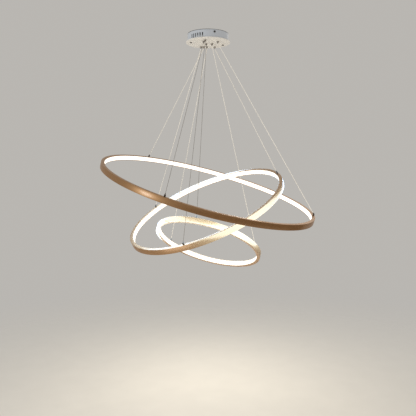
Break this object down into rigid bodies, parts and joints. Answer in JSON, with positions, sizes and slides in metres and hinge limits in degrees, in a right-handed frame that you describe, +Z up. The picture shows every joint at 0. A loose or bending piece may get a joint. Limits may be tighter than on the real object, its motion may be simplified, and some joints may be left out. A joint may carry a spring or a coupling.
{
  "type": "led ring chandelier",
  "caption": "Ceiling chandelier of tilted, nested bronze light rings with inward glowing diffusers, each hung from thin cables out of a round white canopy.",
  "frame": {"origin": "centre of the ceiling face, on top of the bracket", "axes": "+Z up into the ceiling, +X to the viewer's right, -Y towards the viewer"},
  "size_m": [0.7779, 0.7935, 0.8755],
  "materials": {
    "drum_white": "satin powder coat",
    "plate_white": "satin powder coat",
    "zinc_steel": "zinc plated",
    "dark_screw": "blackened",
    "driver_plastic": "moulded",
    "foam_pad": "foam",
    "block_plastic": "moulded",
    "brass_screw": "plain",
    "lead_plastic": "smooth sleeve",
    "grip_nickel": "nickel plated",
    "plunger_steel": "turned",
    "spring_steel": "drawn wire",
    "steel_rope": "stranded",
    "clear_jacket": "clear jacket over fine strands",
    "rim_bronze": "satin bronze anodised",
    "diffuser_milk": "milky, lit from behind",
    "board_white": "white solder mask",
    "chip_phosphor": "phosphor",
    "stud_black": "satin black"
  },
  "bodies": {
    "canopy": {"cable_tails": "steel_rope", "canopy_drum": "drum_white", "canopy_plate": "plate_white", "ceiling_bracket": "zinc_steel", "driver_case": "driver_plastic", "driver_pad": "foam_pad", "earth_screw": "brass_screw", "grip_bodies": "grip_nickel", "grip_nuts": "grip_nickel", "grip_springs": "spring_steel", "mains_block": "block_plastic", "mains_block_screws": "brass_screw", "mains_leads": "lead_plastic", "output_block": "block_plastic", "output_leads": "lead_plastic", "plate_screws": "dark_screw", "side_screws": "dark_screw"},
    "large_plunger_a": {"large_plunger_a": "plunger_steel"},
    "large_plunger_b": {"large_plunger_b": "plunger_steel"},
    "large_plunger_c": {"large_plunger_c": "plunger_steel"},
    "large_cables": {"large_cable_a": "clear_jacket", "large_cable_b": "steel_rope", "large_cable_c": "clear_jacket"},
    "large_ring": {"large_diffuser": "diffuser_milk", "large_led_board": "board_white", "large_led_chips": "chip_phosphor", "large_rim_channel": "rim_bronze", "large_rim_studs": "stud_black", "large_splice_plate": "zinc_steel", "large_splice_screws": "dark_screw"},
    "middle_plunger_a": {"middle_plunger_a": "plunger_steel"},
    "middle_plunger_b": {"middle_plunger_b": "plunger_steel"},
    "middle_plunger_c": {"middle_plunger_c": "plunger_steel"},
    "middle_cables": {"middle_cable_a": "clear_jacket", "middle_cable_b": "steel_rope", "middle_cable_c": "clear_jacket"},
    "middle_ring": {"middle_diffuser": "diffuser_milk", "middle_led_board": "board_white", "middle_led_chips": "chip_phosphor", "middle_rim_channel": "rim_bronze", "middle_rim_studs": "stud_black", "middle_splice_plate": "zinc_steel", "middle_splice_screws": "dark_screw"},
    "small_plunger_a": {"small_plunger_a": "plunger_steel"},
    "small_plunger_b": {"small_plunger_b": "plunger_steel"},
    "small_plunger_c": {"small_plunger_c": "plunger_steel"},
    "small_cables": {"small_cable_a": "clear_jacket", "small_cable_b": "steel_rope", "small_cable_c": "clear_jacket"},
    "small_ring": {"small_diffuser": "diffuser_milk", "small_led_board": "board_white", "small_led_chips": "chip_phosphor", "small_rim_channel": "rim_bronze", "small_rim_studs": "stud_black", "small_splice_plate": "zinc_steel", "small_splice_screws": "dark_screw"}
  },
  "joints": [
    {"name": "large_release_a", "type": "slide", "parent": "canopy", "child": "large_plunger_a", "axis": [0, 0, 1], "range_m": [0, 0.0018], "stiffness_N_per_m": 300, "springref_m": -0.002, "deforming": ["grip_springs"]},
    {"name": "large_release_b", "type": "slide", "parent": "canopy", "child": "large_plunger_b", "axis": [0, 0, 1], "range_m": [0, 0.0018], "stiffness_N_per_m": 300, "springref_m": -0.002, "deforming": ["grip_springs"]},
    {"name": "large_release_c", "type": "slide", "parent": "canopy", "child": "large_plunger_c", "axis": [0, 0, 1], "range_m": [0, 0.0018], "stiffness_N_per_m": 300, "springref_m": -0.002, "deforming": ["grip_springs"]},
    {"name": "large_swing", "type": "hinge", "parent": "canopy", "child": "large_cables", "pos_m": [0.0029, -0.0009, -0.03655], "axis": [1, 0, 0], "range_deg": [-4, 4]},
    {"name": "large_lift", "type": "slide", "parent": "large_cables", "child": "large_ring", "axis": [0, 0, 1], "range_m": [0, 0.25], "deforming": ["large_cable_a", "large_cable_b", "large_cable_c"]},
    {"name": "middle_release_a", "type": "slide", "parent": "canopy", "child": "middle_plunger_a", "axis": [0, 0, 1], "range_m": [0, 0.0018], "stiffness_N_per_m": 300, "springref_m": -0.002, "deforming": ["grip_springs"]},
    {"name": "middle_release_b", "type": "slide", "parent": "canopy", "child": "middle_plunger_b", "axis": [0, 0, 1], "range_m": [0, 0.0018], "stiffness_N_per_m": 300, "springref_m": -0.002, "deforming": ["grip_springs"]},
    {"name": "middle_release_c", "type": "slide", "parent": "canopy", "child": "middle_plunger_c", "axis": [0, 0, 1], "range_m": [0, 0.0018], "stiffness_N_per_m": 300, "springref_m": -0.002, "deforming": ["grip_springs"]},
    {"name": "middle_swing", "type": "hinge", "parent": "canopy", "child": "middle_cables", "pos_m": [-0.0088, -0.0038, -0.03655], "axis": [1, 0, 0], "range_deg": [-4, 4]},
    {"name": "middle_lift", "type": "slide", "parent": "middle_cables", "child": "middle_ring", "axis": [0, 0, 1], "range_m": [0, 0.04], "deforming": ["middle_cable_a", "middle_cable_b", "middle_cable_c"]},
    {"name": "small_release_a", "type": "slide", "parent": "canopy", "child": "small_plunger_a", "axis": [0, 0, 1], "range_m": [0, 0.0018], "stiffness_N_per_m": 300, "springref_m": -0.002, "deforming": ["grip_springs"]},
    {"name": "small_release_b", "type": "slide", "parent": "canopy", "child": "small_plunger_b", "axis": [0, 0, 1], "range_m": [0, 0.0018], "stiffness_N_per_m": 300, "springref_m": -0.002, "deforming": ["grip_springs"]},
    {"name": "small_release_c", "type": "slide", "parent": "canopy", "child": "small_plunger_c", "axis": [0, 0, 1], "range_m": [0, 0.0018], "stiffness_N_per_m": 300, "springref_m": -0.002, "deforming": ["grip_springs"]},
    {"name": "small_swing", "type": "hinge", "parent": "canopy", "child": "small_cables", "pos_m": [0, 0.0048, -0.03655], "axis": [1, 0, 0], "range_deg": [-4, 4]},
    {"name": "small_lift", "type": "slide", "parent": "small_cables", "child": "small_ring", "axis": [0, 0, 1], "range_m": [0, 0.16], "deforming": ["small_cable_a", "small_cable_b", "small_cable_c"]}
  ]
}
